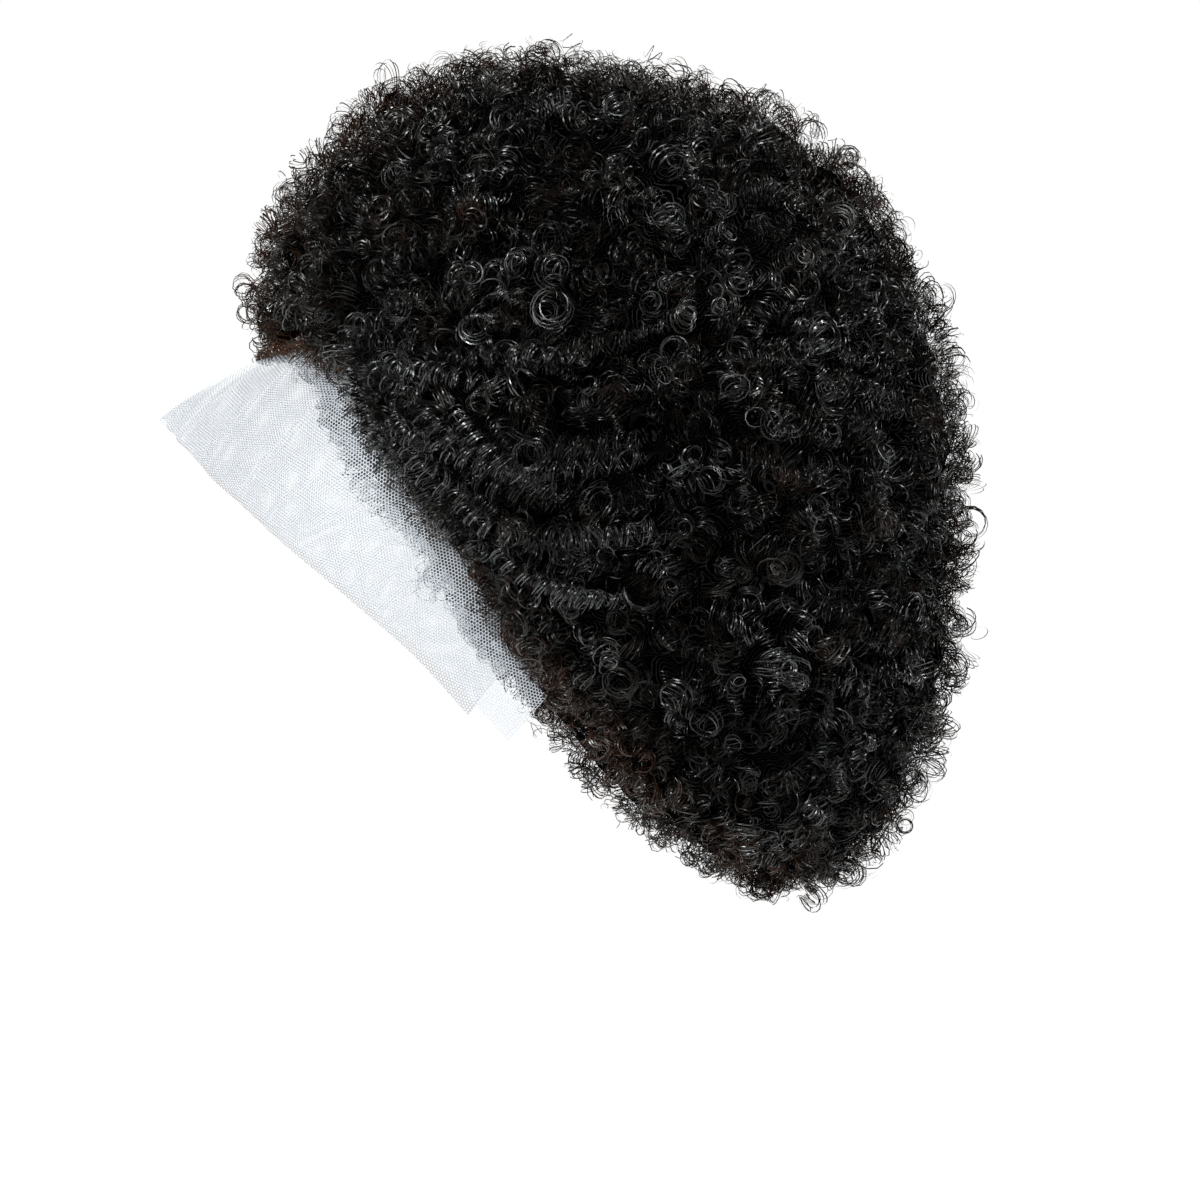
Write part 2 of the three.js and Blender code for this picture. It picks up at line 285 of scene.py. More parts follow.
# A closed wall between an outer and an inner grid of rows from the crown down and columns round it
def closedShell(name, outer, inner, material):
    rows = np.concatenate([outer, inner[::-1]])
    faces = gridFaces(len(rows), rows.shape[1], True)
    piece = newObject(name, rows.reshape(-1, 3), faces, material)
    bpy.ops.object.select_all(action="DESELECT")
    bpy.context.view_layer.objects.active = piece
    piece.select_set(True)
    bpy.ops.object.mode_set(mode="EDIT")
    bpy.ops.mesh.select_all(action="SELECT")
    bpy.ops.mesh.remove_doubles(threshold=0.01 * mm)
    bpy.ops.mesh.normals_make_consistent(inside=False)
    bpy.ops.object.mode_set(mode="OBJECT")
    return piece


# Black fibre, heat-set into curls: near-black, warming to brown in patches of 30 mm where the hair thins out.
# The brown is a painted glow of light passing through the thin hair, with a little brown of its own at
# random. It has the narrow highlight of a round strand where it turns across the light. The real fibre is
# under 0.1 mm thick and is drawn as a wider ribbon, so that it shows.
hairFinish = {
    "black": "#030404", "brown": "#573728", "brownPatch": 30,
    "roughness": 0.38, "ior": 1.5, "narrowHighlight": 0.75,
}


def curledHairMaterial():
    finish = hairFinish
    material, tree = newMaterial("heatSetBlackFibre")
    place = addNode(tree, "ShaderNodeTexCoord")
    # brown: how much painted glow of light through thin hair a strand has, and a little tone of its own
    brownGlowShare = addNode(tree, "ShaderNodeAttribute", attribute_name="brown")
    patch = addNode(tree, "ShaderNodeTexNoise", {"Scale": 1 / (finish["brownPatch"] * mm), "Detail": 2},
                    {"Vector": place.outputs["Object"]})
    warmth = addNode(tree, "ShaderNodeMath", {}, {0: patch.outputs["Fac"], 1: brownGlowShare.outputs["Fac"]},
                     operation="MULTIPLY")
    colour = addNode(tree, "ShaderNodeMix",
                     {6: linearColour(finish["black"]), 7: linearColour(finish["brown"])},
                     {0: warmth.outputs[0]}, data_type="RGBA")
    across = addNode(tree, "ShaderNodeTangent", direction_type="UV_MAP", uv_map="OFBake")
    shine = addNode(tree, "ShaderNodeAttribute", attribute_name="shine")
    shader = addNode(tree, "ShaderNodeBsdfPrincipled",
                     {"Roughness": finish["roughness"], "IOR": finish["ior"],
                      "Anisotropic": finish["narrowHighlight"]},
                     {"Base Color": colour.outputs[2], "Tangent": across.outputs[0],
                      "Specular IOR Level": shine.outputs["Fac"]})
    addNode(tree, "ShaderNodeOutputMaterial", {}, {"Surface": shader.outputs[0]})
    return material


# The depth between the curls: the same fibre, matted into rings about 11 mm wide, kept duller and darker than
# the curls as painted shade in the depth. Its strands are drawn 1.3 mm apart, as the real ones are too fine
# to show.
# Sizes in millimetres.
mattedAndShadedFinish = {
    "ring": 11, "strandPitch": 1.3, "strandHeight": 0.6, "bend": 12, "bendPatch": 14.3,
    "dark": "#010101", "light": "#0b0a09", "shine": 0.1, "roughness": 0.45,
}


def mattedHairMaterial():
    finish = mattedAndShadedFinish
    material, tree = newMaterial("mattedBlackFibreInShade")
    place = addNode(tree, "ShaderNodeTexCoord")
    bend = addNode(tree, "ShaderNodeTexNoise", {"Scale": 1 / (finish["bendPatch"] * mm), "Detail": 0},
                   {"Vector": place.outputs["Object"]})
    moved = addNode(tree, "ShaderNodeVectorMath", {1: (finish["bend"] * mm,) * 3},
                    {0: bend.outputs["Color"], 2: place.outputs["Object"]}, operation="MULTIPLY_ADD")
    cells = addNode(tree, "ShaderNodeTexVoronoi", {"Scale": 1 / (finish["ring"] * mm)},
                    {"Vector": moved.outputs[0]})
    rings = addNode(tree, "ShaderNodeMath", {1: 2 * math.pi * finish["ring"] / finish["strandPitch"]},
                    {0: cells.outputs["Distance"]}, operation="MULTIPLY")
    strand = addNode(tree, "ShaderNodeMath", {}, {0: rings.outputs[0]}, operation="COSINE")
    tone = addNode(tree, "ShaderNodeMapRange", {"From Min": 0.5, "From Max": 1}, {"Value": strand.outputs[0]})
    shine = addNode(tree, "ShaderNodeMath", {1: finish["shine"]}, {0: tone.outputs[0]}, operation="MULTIPLY")
    # Near-black, the fibre's own colour kept darker as painted shade of the depth, a little lighter on the
    # drawn strands
    colour = addNode(tree, "ShaderNodeMix",
                     {6: linearColour(finish["dark"]), 7: linearColour(finish["light"])},
                     {0: tone.outputs[0]}, data_type="RGBA")
    bump = addNode(tree, "ShaderNodeBump", {"Strength": 1, "Distance": finish["strandHeight"] * mm},
                   {"Height": strand.outputs[0]})
    shader = addNode(tree, "ShaderNodeBsdfPrincipled", {"Roughness": finish["roughness"]},
                     {"Base Color": colour.outputs[2], "Specular IOR Level": shine.outputs[0],
                      "Normal": bump.outputs[0]})
    addNode(tree, "ShaderNodeOutputMaterial", {}, {"Surface": shader.outputs[0]})
    return material


# Tufts about 20 mm wide, each with its own lean, height and shine: they make the outline knobbly and the gaps
# dark. By turn, lift moves the curls' ends off the outline at the crown and sides, and hemLift at the hem.
tuftSizes = {
    "tufts": 640, "firstPlace": 11, "lean": (0, 0.5, -0.6), "rise": (-2.5, 4), "shine": (0.3, 1.9),
    "dome": 6, "reach": 11, "swell": 6, "lowest": -12, "hemZone": (0.6, 0.95),
    "turn": [0, 20, 45, 75, 95, 125, 180],
    "lift": [-8, -8, -8, -7, -7, -7, -7],
    "hemLift": [3, -4, -12, 5, 8, 6, -3],
}


def hairLift(turn, share):
    lifts = (np.interp(np.abs(turn), tuftSizes["turn"], tuftSizes[key]) for key in ("lift", "hemLift"))
    return lerp(*lifts, smooth(share, *tuftSizes["hemZone"]))


# The tufts' middles, leans, rises and shines
def hairTufts(random):
    size = tuftSizes
    _, _, middle, _ = spreadOverHair(size["tufts"], size["firstPlace"])
    lean = unit(random.normal(0, 1, middle.shape) + np.array(size["lean"]))
    rise = random.uniform(*size["rise"], len(middle))
    shine = random.uniform(*size["shine"], len(middle))
    return middle, lean, rise, shine


# The number of the nearest middle to each point
def nearestOf(middles, points):
    tree = kdtree.KDTree(len(middles))
    for number, middle in enumerate(middles):
        tree.insert(Vector(middle), number)
    tree.balance()
    return np.array([tree.find(Vector(point))[1] for point in points])


# The tuft that each place belongs to, and how far the tuft stands out there
def tuftRise(points, tufts):
    middle, _, rise, _ = tufts
    flat = points.reshape(-1, 3)
    tuft = nearestOf(middle, flat)
    away = np.linalg.norm(middle[tuft] - flat, axis=-1) / tuftSizes["reach"]
    height = rise[tuft] + tuftSizes["dome"] * (0.5 - away ** 2)
    return tuft, height.reshape(points.shape[:-1])


# The matted mass below the curls: how far inside their ends it lies, its share in the tufts and its grid. Its
# inner side steps back over tailZone, about the cap's depth.
hairMass = {
    "inset": 9.5, "insetAtHairline": 5, "hemInset": 6, "tailInset": 5, "tailZone": (-5, 15), "headGap": 0.5,
    "swell": 5, "tuftShare": 0.8,
    "columns": 180, "outerRows": 90, "innerRows": 28, "innerSpacing": 2.2,
}


def hemOfMass(turn):
    lift = np.interp(np.abs(turn), tuftSizes["turn"], tuftSizes["hemLift"])
    return hemDrop(turn) + np.maximum(lift, 0) / 2 - hairMass["hemInset"]


def hairCore(tufts):
    print("hair core")
    mass = hairMass
    turn = np.linspace(-180, 180, mass["columns"], endpoint=False)
    turns, shares = np.meshgrid(turn, np.linspace(0.0005, 1, mass["outerRows"]))
    short = shortness(turns, shares)
    outline = hairPoint(turns, shares)
    lift = hairLift(turns, shares)
    inset = lerp(mass["inset"], mass["insetAtHairline"], short) - np.where(lift > 0, lift / 2, lift)
    rise = standOut(outline, mass["swell"]) + mass["tuftShare"] * tuftRise(outline, tufts)[1]
    inset = inset - rise * (1 - short)
    outer = outline - hairNormal(turns, shares) * inset[..., None]
    outer[..., 2] = np.maximum(outer[..., 2], -hemOfMass(turns))
    outer = clearOfHead(outer, mass["headGap"])
    turns, shares = np.meshgrid(turn, np.linspace(0, 1, mass["innerRows"]) ** mass["innerSpacing"])
    height = hairInside - (hemOfMass(turns) + hairInside) * shares
    tailZone = (wigForm["capDepth"] + edge for edge in mass["tailZone"])
    spare = mass["tailInset"] * smooth(-height, *tailZone)
    inner = pointAt(turns, headReach(turns, -height, hairInside) + spare, height)
    return closedShell("hair_core", outer, inner, mattedHairMaterial())


# Each strand has a strip of the square of the OFBake map to itself, with a margin round it
bakeStrips = {"stripShape": 16, "sides": (0.12, 0.88), "ends": (0.03, 0.97)}


# Strands as thin ribbons: their points, the ways across them, their widths, brown and shine
def ribbons(name, strand, material):
    points, across, width, brown, shine = strand
    count, length = points.shape[:2]
    side = across * (width / 2)[..., None]
    corners = np.stack([points - side, points + side], 2).reshape(-1, 3)
    first = (np.arange(count) * 2 * length)[:, None] + 2 * np.arange(length - 1)
    faces = np.stack([first, first + 1, first + 3, first + 2], -1).reshape(-1, 4)
    piece = newObject(name, corners, faces, material)
    for key, value in (("brown", brown), ("shine", shine)):
        layer = piece.data.attributes.new(key, "FLOAT", "POINT")
        layer.data.foreach_set("value", np.repeat(value.astype(np.float32), 2, axis=1).ravel())
    rows = max(1, round(math.sqrt(count / bakeStrips["stripShape"])))
    columns = math.ceil(count / rows)
    left = (np.arange(count) % columns)[:, None] + 0 * brown
    up = (np.arange(count) // columns)[:, None] + np.linspace(*bakeStrips["ends"], length)
    sides = [np.stack([(left + edge) / columns, up / rows], -1) for edge in bakeStrips["sides"]]
    addMap(piece, "OFBake", np.stack(sides, 2), faces)
    return piece


# How the strands of a lock differ. Radius is a share of its width. They taper to the tip, the root has less
# of the painted brown glow of light through thin hair than the tip, and few locks shine much.
strandSizes = {
    "place": 0.06, "radius": (-0.28, 0.2), "waves": 7, "phase": 0.16, "tilt": 0.35, "taper": 0.8,
    "rootBrown": 0.4, "lockShine": (0.3, 1), "fewShine": 2.5, "strandShine": (0.5, 1),
}

# What a set of curls has unless it says otherwise. The tilt, in radians, is from lying flat on the coil.
usualStrands = {"width": (0.35, 0.5), "loose": 0.12, "tilt": 0.75, "shine": 1}


# Coils of strands along bowed lines from start to end. hold stands square to the plane of each bow.
def coilStrands(coil, strands, steps, random):
    size, coil = strandSizes, {**usualStrands, **coil}
    count = len(coil["start"])
    each = (count, strands)
    start, middle, end, hold = (coil[key][:, None, None] for key in ("start", "middle", "end", "hold"))
    perLock = ("radius", "tipRadius", "turns", "phase", "hand", "lock", "tilt", "brown", "shine")
    lock = {key: np.broadcast_to(coil[key], count)[:, None, None] for key in perLock}
    length = np.linalg.norm(coil["end"] - coil["start"], axis=-1)[:, None]
    order = (np.arange(strands) + 0.5) / strands - 0.5 + random.uniform(-size["place"], size["place"], each)
    lie = order * lock["lock"][..., 0] / length
    along = np.linspace(0, 1, steps + 1)
    place = (along + lie[..., None])[..., None]
    line = (1 - place) ** 2 * start + 2 * (1 - place) * place * middle + place ** 2 * end
    aim = unit(2 * (1 - place) * (middle - start) + 2 * place * (end - middle))
    lift = np.cross(aim, hold)
    inward = random.uniform(*size["radius"], (*each, 1)) * lock["lock"]
    wander = random.uniform(0, 2 * np.pi, (*each, 1))
    radius = lerp(lock["radius"], lock["tipRadius"], along) + inward
    radius = radius * (1 + coil["loose"] * np.sin(along * size["waves"] + wander))
    phase = lock["phase"] + random.normal(0, size["phase"], (*each, 1))
    angle = phase + lock["hand"] * 2 * np.pi * lock["turns"] * along
    out = np.cos(angle)[..., None] * hold + np.sin(angle)[..., None] * lift
    points = line + radius[..., None] * out
    ahead = unit(np.gradient(points, axis=2))
    across = unit(np.cross(ahead, out))
    tilt = np.where(random.uniform(0, 1, each) < 0.5, -1, 1) * lock["tilt"][..., 0]
    tilt = (tilt + random.normal(0, size["tilt"], each))[..., None, None]
    across = unit(across * np.cos(tilt) + np.cross(across, ahead) * np.sin(tilt))
    width = random.uniform(*coil["width"], (*each, 1)) * (1 - size["taper"] * along ** 4) + 0 * radius
    brown = lock["brown"] * lerp(size["rootBrown"], 1, along) + 0 * radius
    shine = random.uniform(*size["lockShine"], (count, 1, 1)) ** size["fewShine"]
    shine = shine * random.uniform(*size["strandShine"], (*each, 1)) * lock["shine"] + 0 * radius
    shape = (count * strands, steps + 1)
    points, across = (part.reshape(*shape, 3) for part in (points, across))
    return points, across, *(part.reshape(shape) for part in (width, brown, shine))


# Which way the tips lie: at random, with their tuft's lean and falling back, or swept back from the temples
flowSizes = {
    "wild": 0.8, "fall": (0, 0.35, -0.35),
    "swept": (0, 1.6, 0.7), "sweptShare": (0.55, 0.85), "sweptTurn": (75, 100),
}


# The tips of a set of curls, and the ways, the shortness, the lift, the height and the tuft's shine there
def curlPlaces(count, firstPlace, random, tufts):
    turn, share, point, out = spreadOverHair(count, firstPlace)
    tuftPoint, tuftLean, _, tuftShine = tufts
    tuft, rise = tuftRise(point, tufts)
    short = shortness(turn, share)
    gather = (tuftPoint[tuft] - point) * (1 - short)[:, None]
    lift = hairLift(turn, share)
    high = rise + standOut(point, tuftSizes["swell"])
    point = point + out * np.maximum(high * (1 - short) + lift, tuftSizes["lowest"])[:, None]
    wild = unit(random.normal(0, 1, (len(point), 3)))
    swept = smooth(share, *flowSizes["sweptShare"]) * (1 - smooth(np.abs(turn), *flowSizes["sweptTurn"]))
    fall = lerp(np.array(flowSizes["fall"]), np.array(flowSizes["swept"]), swept[:, None])
    flow = unit(wild * flowSizes["wild"] + tuftLean[tuft] * (1 - swept)[:, None] + fall)
    return point, out, laidFlat(flow, out), wild, short, gather, np.maximum(lift, 0), high, tuftShine[tuft]


# Curls by size: how many, strands in each, steps along a strand, coil radius, rise a turn, turns
curlKinds = {
    "hair_curls_tight": (650, 5, 22, (2.3, 3.6), (4.5, 6), (1.7, 2.5)),
    "hair_curls_long": (220, 5, 30, (2.8, 4.4), (5, 6.5), (2.6, 3.6)),
    "hair_curls_middle": (700, 5, 20, (3.2, 5), (5.5, 8), (1.3, 2.2)),
    "hair_curls_full": (700, 5, 20, (3.8, 5.8), (5.5, 8), (1.3, 2.2)),
    "hair_curls_open": (700, 5, 16, (4.6, 7), (6, 9), (0.9, 1.7)),
    "hair_rings": (380, 4, 22, (3, 6), (1.5, 3.5), (0.9, 1.7)),
    "hair_hooks": (1100, 4, 10, (2.8, 5.6), (4, 9), (0.5, 1)),
    "hair_frizz": (1300, 1, 16, (1.8, 4.8), (2, 5), (0.9, 2.2)),
}

# How wide a lock is, how far its end goes along the hair and in to its tuft, its bow, and how much less it is
# at the hairline. A share of them stands upright and shows its coil end on, as all rings do.
curlSizes = {
    "firstPlace": 500, "lock": 4.6, "loose": 0.13, "tip": (0.4, 0.95), "along": 0.35, "gather": 0.2,
    "bow": 0.2, "shorter": 0.3, "narrower": 0.25, "headGap": 1, "sink": 4, "ringSink": 3,
    "upright": 0.22, "uprightStand": (0.75, 1), "uprightWild": 0.4, "stand": (0.05, 0.6),
    "hairlineStand": 0.35, "holdWild": 0.5,
}

# Single stray hairs, some of which flow along the hair, longer and straighter than the rest
strayHair = {
    "width": (0.28, 0.36), "depth": (-2, 2), "flowing": 0.3, "longer": 2.4, "narrower": 0.6, "wild": 0.3,
}

# How brown a curl is: a little anywhere at random, its own tone, and more at the hairline, on stray hairs,
# high up and along the crown, where the brown is a painted glow of light passing through thin hair at the
# outline
curlBrownAndGlow = {
    "anywhere": (0, 0.08), "hairline": 0.35, "stray": 0.1, "high": 0.25, "highZone": (4, 12),
    "crown": 0.45, "crownWidth": 38,
}


def placeCurls(name, firstPlace, random, tufts):
    size, stray = curlSizes, strayHair
    count, strands, steps, radii, pitches, turnRange = curlKinds[name]
    point, out, flat, wild, short, gather, lift, high, shine = curlPlaces(count, firstPlace, random, tufts)
    turns = random.uniform(*turnRange, count)
    length = turns * random.uniform(*pitches, count) * (1 - size["shorter"] * short)
    radius = random.uniform(*radii, count) * (1 - size["narrower"] * short)
    single, ring, tilt = strands == 1, name == "hair_rings", usualStrands["tilt"]
    if single:
        point = point + out * (random.uniform(*stray["depth"], count) * (1 - short))[:, None]
        flowing = random.uniform(0, 1, count) < stray["flowing"]
        length = np.where(flowing, stray["longer"] * length, length)
        radius = np.where(flowing, stray["narrower"] * radius, radius)
        aim = np.where(flowing[:, None], unit(flat + wild * stray["wild"]), unit(wild + out * stray["wild"]))
        aim = aim - 2 * out * np.minimum(np.sum(aim * out, -1, keepdims=True), 0)
    else:
        sink = size["sink"] * random.uniform(0, 1, count) ** 2 * (1 - short) + size["ringSink"] * ring
        point = point - out * (sink + lift * random.uniform(0, 1, count))[:, None]
        upright = random.uniform(0, 1, count) < (1 if ring else size["upright"])
        tilt = np.where(upright, 1, tilt)
        uprightStand, lyingStand = (random.uniform(*size[key], count) for key in ("uprightStand", "stand"))
        stand = lerp(np.where(upright, uprightStand, lyingStand), size["hairlineStand"], short)
        aim = flat * (1 - stand)[:, None] + out * stand[:, None]
        aim = unit(aim + wild * (size["uprightWild"] * upright)[:, None])
    end = point + flat * (length * size["along"])[:, None] + gather * size["gather"]
    start = clearOfHead(end - aim * length[:, None], size["headGap"])
    middle = (start + end) / 2 + out * (length * size["bow"])[:, None]
    own = {
        "start": start, "middle": middle, "end": end,
        "hold": unit(np.cross(end - start, middle - start + wild * size["holdWild"])),
        "radius": radius, "tipRadius": radius * random.uniform(*size["tip"], count), "turns": turns,
        "phase": random.uniform(0, 2 * np.pi, count), "hand": random.choice([-1.0, 1.0], count),
        "lock": (0 if single else size["lock"]) * (1 - size["shorter"] * short),
        "width": stray["width"] if single else usualStrands["width"],
        "loose": size["loose"], "tilt": tilt, "shine": shine,
    }
    tone = curlBrownAndGlow
    brown = random.uniform(*tone["anywhere"], count) + tone["hairline"] * short + tone["stray"] * single
    brown = brown + tone["high"] * smooth(high, *tone["highZone"])
    return {**own, "brown": brown + tone["crown"] * np.exp(-(point[:, 0] / tone["crownWidth"]) ** 2)}


# The coils of a set, from its dictionary. A set with a pitch has as many turns as its length gives.
def coilsOf(size, hand, length, random):
    count = len(length)
    radius = random.uniform(*size["radius"], count)
    if "pitch" in size:
        turns = length / random.uniform(*size["pitch"], count)
    else:
        turns = random.uniform(*size["turns"], count)
    own = {key: size[key] for key in ("lock", "width", "loose", "tilt", "brown", "shine") if key in size}
    return {
        "radius": radius, "tipRadius": radius * size["tip"], "turns": turns,
        "phase": random.uniform(0, 2 * np.pi, count), "hand": hand, **own,
    }


# Short curls on the inner side of the hair that hangs below the cap, where it hangs by leastTail or more
tailSizes = {
    "curls": 420, "strands": 3, "steps": 11, "turn": (92, 180), "radius": (3, 5.5), "length": (6, 12),
    "turns": (0.7, 1.3), "tip": 0.7, "lock": 3.4, "brown": (0.2, 0.8), "leastTail": 8, "fromEdge": 3,
    "offHead": 4, "rootOff": 2, "flat": 0.8, "hang": (0, 0, -0.6),
}


def placeTailLining(random):
    size, capDepth = tailSizes, wigForm["capDepth"]
    count = size["curls"]
    sign = random.choice([-1.0, 1.0], count)
    turn = random.uniform(*size["turn"], count)
    hem = hemDrop(turn)
    drop = lerp(capDepth + size["fromEdge"], hem - size["fromEdge"], random.uniform(0, 1, count))
    kept = hem > capDepth + size["leastTail"]
    sign, turn, drop, count = sign[kept], turn[kept], drop[kept], int(kept.sum())
    away = pointAt(turn * sign, 1 + 0 * turn, 0 * turn)
    point = pointAt(turn * sign, headReach(turn, drop, 0) + size["offHead"], -drop)
    wild = unit(random.normal(0, 1, (count, 3)))
    aim = wild - away * np.sum(wild * away, -1, keepdims=True) * size["flat"]
    aim = unit(aim + np.array(size["hang"]))
    length = random.uniform(*size["length"], count)
    start = point - aim * (length / 2)[:, None] + away * size["rootOff"]
    end = point + aim * (length / 2)[:, None]
    return {
        "start": start, "middle": (start + end) / 2 - away, "end": end, "hold": unit(np.cross(aim, away)),
        **coilsOf(size, sign, length, random), "brown": random.uniform(*size["brown"], count),
    }


# Curls round the lower edge, where the hair is turned under, a few more of them towards the ears
hemSizes = {
    "curls": 330, "strands": 4, "steps": 11, "turn": (78, 180), "share": (0.88, 1), "depth": (1, 7),
    "radius": (2.8, 4.6), "length": (5, 11), "turns": (0.8, 1.5), "tip": 0.6, "lock": 3.8,
    "brown": (0.3, 0.9), "towardsEars": 1.3, "flat": 0.6, "headGap": 1,
}


def placeHemCurls(random):
    size = hemSizes
    count = size["curls"]
    sign = random.choice([-1.0, 1.0], count)
    turn = lerp(*size["turn"], random.uniform(0, 1, count) ** size["towardsEars"]) * sign
    share = random.uniform(*size["share"], count)
    point, out = hairPoint(turn, share), hairNormal(turn, share)
    point = point + out * (hairLift(turn, share) - random.uniform(*size["depth"], count))[:, None]
    wild = unit(random.normal(0, 1, (count, 3)))
    aim = laidFlat(wild, out, size["flat"])
    length = random.uniform(*size["length"], count)
    start, end = point - aim * (length / 2)[:, None], point + aim * (length / 2)[:, None]
    return {
        "start": clearOfHead(start, size["headGap"]), "end": clearOfHead(end, size["headGap"]),
        "middle": (start + end) / 2 + out, "hold": unit(np.cross(aim, out)),
        **coilsOf(size, sign, length, random), "brown": random.uniform(*size["brown"], count),
    }


# Long ridged rolls that lie back from the temples on both sides, bent to the radius curve
rollSizes = {
    "rolls": 76, "strands": 5, "steps": 56, "turn": (44, 84), "turnSpread": 3, "share": (0.42, 0.76),
    "shareSpread": 0.02, "length": (28, 48), "radius": (3.2, 5.2), "pitch": (6, 7.5), "tip": 0.9, "lock": 3.4,
    "loose": 0.22, "tilt": 0.5, "brown": 0.04, "shine": 1.7, "lift": -1.5, "swell": 3, "rootDepth": 8,
    "headGap": 1, "fall": -0.1, "fallSpread": 0.22, "curve": 110, "middle": 0.45, "middleOut": 4,
}


def placeRolls(random):
    size = rollSizes
    count = size["rolls"]
    goldenStep = 0.618034
    sign = np.where(np.arange(count) % 2 == 0, 1, -1)
    number = np.arange(count) // 2
    turn = lerp(*size["turn"], (number * goldenStep + 0.1) % 1)
    turn = turn + random.uniform(-size["turnSpread"], size["turnSpread"], count)
    share = lerp(*size["share"], (number + 0.5) / (count / 2))
    share = share + random.uniform(-size["shareSpread"], size["shareSpread"], count)
    point, out = hairPoint(turn * sign, share), hairNormal(turn * sign, share)
    fall = random.normal(size["fall"], size["fallSpread"], count)
    flat = laidFlat(np.array([0, 1, 0]) + np.array([0, 0, 1]) * fall[:, None], out)
    length = random.uniform(*size["length"], count)
    point = point + out * (size["lift"] + swell(point) * size["swell"])[:, None]
    start = clearOfHead(point - out * size["rootDepth"], size["headGap"])
    end = point + flat * length[:, None] - out * (length ** 2 / (2 * size["curve"]))[:, None]
    middle = point + flat * (length * size["middle"])[:, None] + out * size["middleOut"]
    line = {"start": start, "middle": middle, "end": end, "hold": unit(np.cross(end - start, out))}
    return {**line, **coilsOf(size, -sign, length, random)}


# Wide loops over the forehead
loopSizes = {
    "loops": 110, "strands": 5, "steps": 18, "turn": (0, 44), "share": (0.2, 0.85), "length": (7, 14),
    "radius": (4.5, 7), "turns": (0.7, 1.5), "tip": 0.5, "lock": 3.6, "loose": 0.1, "brown": 0.12,
    "shine": 1.5, "lift": -9, "swell": 5, "wild": 0.7, "flow": (0, 0.8, 0.5), "rootDepth": 3, "bow": 2,
}


def placeLoops(random):
    size = loopSizes
    count = size["loops"]
    sign = random.choice([-1.0, 1.0], count)
    turn = random.uniform(*size["turn"], count) * sign
    share = random.uniform(*size["share"], count)
    point, out = hairPoint(turn, share), hairNormal(turn, share)
    point = point + out * (swell(point) * size["swell"] + size["lift"])[:, None]
    wild = unit(random.normal(0, 1, (count, 3)))
    flat = laidFlat(wild * size["wild"] + np.array(size["flow"]), out)
    length = random.uniform(*size["length"], count)
    end = point + flat * (length / 2)[:, None]
    start = end - flat * length[:, None] - out * size["rootDepth"]
    middle = (start + end) / 2 + out * size["bow"]
    line = {"start": start, "middle": middle, "end": end, "hold": unit(np.cross(end - start, out))}
    return {**line, **coilsOf(size, sign, length, random)}


# Fine short hairs tied into the lace along the hairline, thinning out from the rim over a share of the lace.
# zoneWidth, shorter, intoHair and off go from the middle of the front to the sides.
# Their strong brown is a painted glow of light passing through the fine hairs.
babySizes = {
    "hairs": 1900, "steps": 7, "width": (0.26, 0.32), "zone": 0.18, "zoneWidth": (0.3, 1), "thinning": 2.2,
    "radius": (0.9, 2.2), "rootRadius": 0.3, "tip": 1, "length": (3.5, 8), "shorter": (0.5, 1),
    "turns": (0.6, 1.3), "intoHair": (1, 0.5), "off": (0.1, 0.45), "wild": 0.6, "holdWild": 0.3,
    "rootOff": 0.6, "tipOff": 1.2, "bow": 1.5, "lock": 0, "loose": 0.1, "brown": 1.1, "sideRise": 3,
}


def placeBabyHair(random):
    size = babySizes
    count = size["hairs"]
    across = random.uniform(-1, 1, count)
    zone = size["zone"] * lerp(*size["zoneWidth"], np.abs(across))
    out = zone * random.uniform(0, 1, count) ** size["thinning"]
    edges = laceEdges()
    places = np.linspace(-1, 1, len(edges[0]))
    rimAt, cutAt = (np.stack([np.interp(across, places, line) for line in edge.T], -1) for edge in edges)
    root = lerp(rimAt, cutAt, out[:, None])
    away = unit(root * np.array([1, 1, 0]))
    toHair = unit(rimAt - cutAt)
    wild = unit(random.normal(0, 1, (count, 3)))
    side = np.minimum(1, size["sideRise"] * np.abs(across))
    intoHair, off = (lerp(*size[key], side[:, None]) for key in ("intoHair", "off"))
    aim = unit(toHair * intoHair + away * off + wild * size["wild"])
    length = random.uniform(*size["length"], count) * lerp(*size["shorter"], side)
    start = root + away * size["rootOff"]
    end = start + aim * length[:, None] + away * (size["tipOff"] * side)[:, None]
    coils = coilsOf(size, 1, length, random)
    return {
        "start": start, "middle": (start + end) / 2 + away * size["bow"], "end": end,
        "hold": unit(np.cross(aim, away + wild * size["holdWild"])),
        **coils, "radius": size["rootRadius"] * coils["radius"], "hand": random.choice([-1.0, 1.0], count),
    }


# All sets are placed before their strands are drawn
def curlPieces(random, tufts):
    print("curls")
    fibre = curledHairMaterial()
    firstPlace, sets = curlSizes["firstPlace"], []
    for name, (count, strands, steps, *_) in curlKinds.items():
        sets.append((name, placeCurls(name, firstPlace, random, tufts), strands, steps))
        firstPlace += count
    sets += [
        ("hair_tail_lining", placeTailLining(random), tailSizes["strands"], tailSizes["steps"]),
        ("hair_hem", placeHemCurls(random), hemSizes["strands"], hemSizes["steps"]),
        ("hair_rolls", placeRolls(random), rollSizes["strands"], rollSizes["steps"]),
        ("hair_loops", placeLoops(random), loopSizes["strands"], loopSizes["steps"]),
        ("baby_hair", placeBabyHair(random), 1, babySizes["steps"]),
    ]
    return [ribbons(name, coilStrands(coil, strands, steps, random), fibre)
            for name, coil, strands, steps in sets]


